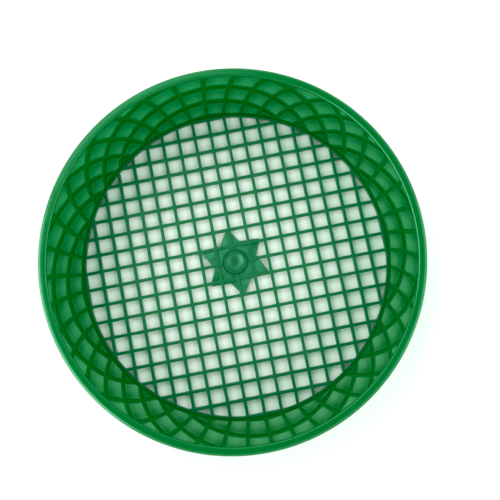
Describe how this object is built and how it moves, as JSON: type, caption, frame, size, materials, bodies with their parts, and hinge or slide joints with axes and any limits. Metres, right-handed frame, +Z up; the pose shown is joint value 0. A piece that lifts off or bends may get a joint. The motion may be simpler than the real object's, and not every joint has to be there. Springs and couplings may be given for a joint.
{
  "type": "soil sieve",
  "caption": "Round garden soil sieve: a smooth tapered wall, a turned-down rim and a flat square mesh floor with a star-shaped gate plate.",
  "frame": {"origin": "centre of the foot's underside, on the ground", "axes": "+Z up, square to the mesh floor; X and Y along the mesh bars"},
  "size_m": [0.3417, 0.3418, 0.084],
  "materials": {
    "wall_plastic": "polished green polypropylene, mirror smooth inside",
    "rim_plastic": "glossy green polypropylene, lightly scuffed on the edge",
    "base_plastic": "glossy green polypropylene",
    "mesh_plastic": "satin green polypropylene",
    "gate_plastic": "satin green polypropylene with flow marks"
  },
  "bodies": {
    "root": {"foot_ring": "base_plastic", "base_ring": "base_plastic", "side_wall": "wall_plastic", "rim_flange": "rim_plastic", "rim_bend": "rim_plastic", "rim_skirt": "rim_plastic", "rim_pads": "rim_plastic", "bars_lengthwise": "mesh_plastic", "bars_crosswise": "mesh_plastic", "edge_bars": "mesh_plastic", "gate_star": "gate_plastic", "gate_collar": "gate_plastic", "gate_dish": "gate_plastic", "gate_pip": "gate_plastic"}
  },
  "joints": []
}
